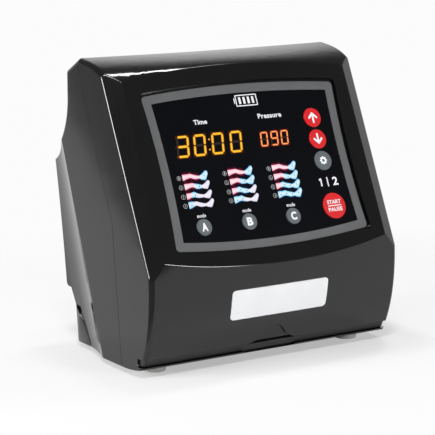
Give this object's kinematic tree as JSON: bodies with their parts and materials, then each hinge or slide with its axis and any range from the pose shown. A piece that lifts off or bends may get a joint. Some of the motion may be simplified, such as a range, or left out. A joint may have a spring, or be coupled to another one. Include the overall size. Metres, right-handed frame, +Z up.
{
  "type": "compression therapy pump",
  "caption": "Tabletop compression therapy pump: glossy black wedge case, sloping lit control panel with travelling keys, air outlets at the back, diaphragm pump inside.",
  "frame": {"origin": "centre of the footprint on the surface the feet stand on", "axes": "+Z up, -Y the front with the control panel and nameplate, +X to the right of someone facing the panel"},
  "size_m": [0.1846, 0.131, 0.1852],
  "materials": {
    "shell_black": "gloss",
    "tray_black": "gloss",
    "nameplate_white": "satin",
    "frame_grey": "satin",
    "window_smoke": "gloss",
    "key_red": "satin",
    "key_grey": "satin",
    "display_amber": "satin",
    "light_guide_white": "satin",
    "board_green": "satin",
    "component_black": "satin",
    "foam_grey": "matte",
    "foot_rubber": "matte",
    "mount_rubber": "matte",
    "hose_clear": "satin",
    "screw_steel": "satin",
    "motor_steel": "satin",
    "pin_brass": "satin",
    "rod_white": "satin",
    "cell_blue": "satin",
    "holder_black": "satin",
    "valve_blue": "satin",
    "ribbon_grey": "satin"
  },
  "bodies": {
    "housing": {"air_tubes": "hose_clear", "base_screws": "screw_steel", "base_tray": "tray_black", "battery_cells": "cell_blue", "battery_contacts": "motor_steel", "battery_holder": "holder_black", "board_components": "component_black", "board_screws": "screw_steel", "buzzer": "component_black", "case_screws": "screw_steel", "connecting_rod": "rod_white", "crankcase": "component_black", "dc_jack": "tray_black", "diaphragm": "mount_rubber", "display_board": "board_green", "display_ribbon": "ribbon_grey", "display_window": "window_smoke", "feed_tube": "hose_clear", "front_shell": "shell_black", "inlet_filter": "foam_grey", "jack_pin": "pin_brass", "level_indicator": "light_guide_white", "main_board": "board_green", "main_board_screws": "screw_steel", "manifold": "tray_black", "manifold_screws": "screw_steel", "nameplate": "nameplate_white", "outlet_socket_left": "tray_black", "outlet_socket_right": "tray_black", "panel_frame": "frame_grey", "panel_gasket": "foam_grey", "pressure_display": "display_amber", "pressure_sensor": "component_black", "pump_bracket": "motor_steel", "pump_head": "component_black", "pump_motor": "motor_steel", "pump_mounts": "mount_rubber", "pump_screws": "screw_steel", "rear_shell": "shell_black", "rubber_feet": "foot_rubber", "sensor_tube": "hose_clear", "switch_body": "tray_black", "tact_switches": "component_black", "time_display": "display_amber", "valve_1": "valve_blue", "valve_2": "valve_blue", "valve_3": "valve_blue", "valve_4": "valve_blue", "vent_grille": "tray_black", "zone_indicator": "light_guide_white"},
    "key_up": {"key_up": "key_red"},
    "key_down": {"key_down": "key_red"},
    "key_settings": {"key_settings": "key_grey"},
    "key_start": {"key_start": "key_red"},
    "key_mode_a": {"key_mode_a": "key_grey"},
    "key_mode_b": {"key_mode_b": "key_grey"},
    "key_mode_c": {"key_mode_c": "key_grey"},
    "pump_rotor": {"pump_rotor": "screw_steel"},
    "power_rocker": {"power_rocker": "tray_black"}
  },
  "joints": [
    {"name": "key_up_press", "type": "slide", "parent": "housing", "child": "key_up", "axis": [0, 0.9063, -0.4226], "range_m": [0, 0.0004], "stiffness_N_per_m": 1500, "springref_m": -0.0002},
    {"name": "key_down_press", "type": "slide", "parent": "housing", "child": "key_down", "axis": [0, 0.9063, -0.4226], "range_m": [0, 0.0004], "stiffness_N_per_m": 1500, "springref_m": -0.0002},
    {"name": "key_settings_press", "type": "slide", "parent": "housing", "child": "key_settings", "axis": [0, 0.9063, -0.4226], "range_m": [0, 0.0004], "stiffness_N_per_m": 1500, "springref_m": -0.0002},
    {"name": "key_start_press", "type": "slide", "parent": "housing", "child": "key_start", "axis": [0, 0.9063, -0.4226], "range_m": [0, 0.0004], "stiffness_N_per_m": 1500, "springref_m": -0.0002},
    {"name": "key_mode_a_press", "type": "slide", "parent": "housing", "child": "key_mode_a", "axis": [0, 0.9063, -0.4226], "range_m": [0, 0.0004], "stiffness_N_per_m": 1500, "springref_m": -0.0002},
    {"name": "key_mode_b_press", "type": "slide", "parent": "housing", "child": "key_mode_b", "axis": [0, 0.9063, -0.4226], "range_m": [0, 0.0004], "stiffness_N_per_m": 1500, "springref_m": -0.0002},
    {"name": "key_mode_c_press", "type": "slide", "parent": "housing", "child": "key_mode_c", "axis": [0, 0.9063, -0.4226], "range_m": [0, 0.0004], "stiffness_N_per_m": 1500, "springref_m": -0.0002},
    {"name": "pump_spin", "type": "hinge", "parent": "housing", "child": "pump_rotor", "pos_m": [0, 0.0145, 0.04], "axis": [1, 0, 0], "continuous": true},
    {"name": "power_rock", "type": "hinge", "parent": "housing", "child": "power_rocker", "pos_m": [0.056, 0.05545, 0.05836], "axis": [-1, 0, 0], "range_deg": [0, 12]}
  ]
}
